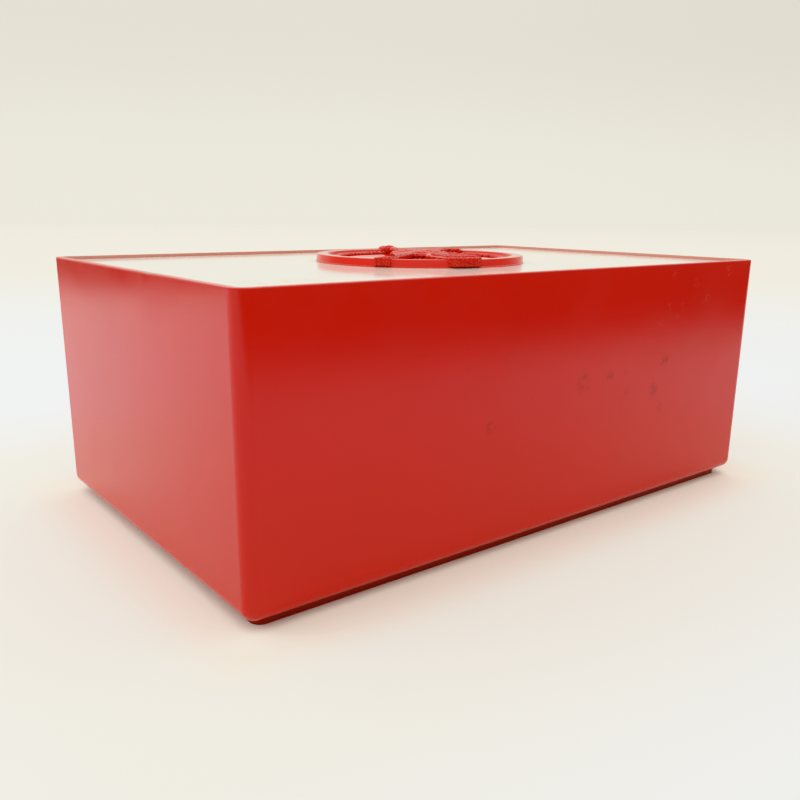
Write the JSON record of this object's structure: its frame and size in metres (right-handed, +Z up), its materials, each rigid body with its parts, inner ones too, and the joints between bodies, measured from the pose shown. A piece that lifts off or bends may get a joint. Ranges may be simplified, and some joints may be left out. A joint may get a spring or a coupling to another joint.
{
  "type": "fleet guessing game in a case",
  "caption": "Deep rectangular game case with a flush lid and round medallion, holding stacked peg boards with plug-in ships, peg bins and a sight screen.",
  "frame": {"origin": "middle of the case's base, on the surface it stands on", "axes": "+X along the case's length, +Y from the front long side to the back one, +Z up"},
  "size_m": [0.205, 0.13, 0.083],
  "materials": {
    "case_red": "glossy moulded polystyrene",
    "lid_white": "glossy moulded polystyrene",
    "medallion_red": "glossy moulded polystyrene",
    "nut_steel": "spring steel",
    "screen_grey": "fine-grained sheet",
    "tray_plastic": "fine-grained moulding",
    "ocean_blue": "satin moulding",
    "target_blue": "satin moulding",
    "ship_grey": "satin moulding",
    "peg_red": "glossy moulding",
    "peg_white": "glossy moulding"
  },
  "bodies": {
    "case": {"outer_case": "case_red"},
    "screen": {"sight_screen": "screen_grey"},
    "lower_board": {"lower_board_tray": "tray_plastic", "lower_ocean_grid": "ocean_blue", "lower_target_grid": "target_blue", "lower_hit_pegs": "peg_red", "lower_miss_pegs": "peg_white"},
    "upper_board": {"upper_board_tray": "tray_plastic", "upper_ocean_grid": "ocean_blue", "upper_target_grid": "target_blue", "upper_hit_pegs": "peg_red", "upper_miss_pegs": "peg_white"},
    "lid": {"lid_panel": "lid_white", "medallion": "medallion_red", "medallion_push_nuts": "nut_steel"},
    "lower_carrier": {"lower_carrier": "ship_grey"},
    "lower_cruiser": {"lower_cruiser": "ship_grey"},
    "lower_frigate": {"lower_frigate": "ship_grey"},
    "lower_submarine": {"lower_submarine": "ship_grey"},
    "lower_patrol_boat": {"lower_patrol_boat": "ship_grey"},
    "upper_carrier": {"upper_carrier": "ship_grey"},
    "upper_cruiser": {"upper_cruiser": "ship_grey"},
    "upper_frigate": {"upper_frigate": "ship_grey"},
    "upper_submarine": {"upper_submarine": "ship_grey"},
    "upper_patrol_boat": {"upper_patrol_boat": "ship_grey"}
  },
  "joints": [
    {"name": "screen_lift", "type": "slide", "parent": "case", "child": "screen", "axis": [0, 0, 1], "range_m": [0, 0.085]},
    {"name": "lower_board_lift", "type": "slide", "parent": "screen", "child": "lower_board", "axis": [0, 0, 1], "range_m": [0, 0.08]},
    {"name": "upper_board_lift", "type": "slide", "parent": "lower_board", "child": "upper_board", "axis": [0, 0, 1], "range_m": [0, 0.05]},
    {"name": "lid_lift", "type": "slide", "parent": "upper_board", "child": "lid", "axis": [0, 0, 1], "range_m": [0, 0.06]},
    {"name": "lower_carrier_lift", "type": "slide", "parent": "lower_board", "child": "lower_carrier", "axis": [0, 0, 1], "range_m": [0, 0.01]},
    {"name": "lower_cruiser_lift", "type": "slide", "parent": "lower_board", "child": "lower_cruiser", "axis": [0, 0, 1], "range_m": [0, 0.01]},
    {"name": "lower_frigate_lift", "type": "slide", "parent": "lower_board", "child": "lower_frigate", "axis": [0, 0, 1], "range_m": [0, 0.01]},
    {"name": "lower_submarine_lift", "type": "slide", "parent": "lower_board", "child": "lower_submarine", "axis": [0, 0, 1], "range_m": [0, 0.01]},
    {"name": "lower_patrol_boat_lift", "type": "slide", "parent": "lower_board", "child": "lower_patrol_boat", "axis": [0, 0, 1], "range_m": [0, 0.01]},
    {"name": "upper_carrier_lift", "type": "slide", "parent": "upper_board", "child": "upper_carrier", "axis": [0, 0, 1], "range_m": [0, 0.01]},
    {"name": "upper_cruiser_lift", "type": "slide", "parent": "upper_board", "child": "upper_cruiser", "axis": [0, 0, 1], "range_m": [0, 0.01]},
    {"name": "upper_frigate_lift", "type": "slide", "parent": "upper_board", "child": "upper_frigate", "axis": [0, 0, 1], "range_m": [0, 0.01]},
    {"name": "upper_submarine_lift", "type": "slide", "parent": "upper_board", "child": "upper_submarine", "axis": [0, 0, 1], "range_m": [0, 0.01]},
    {"name": "upper_patrol_boat_lift", "type": "slide", "parent": "upper_board", "child": "upper_patrol_boat", "axis": [0, 0, 1], "range_m": [0, 0.01]}
  ]
}
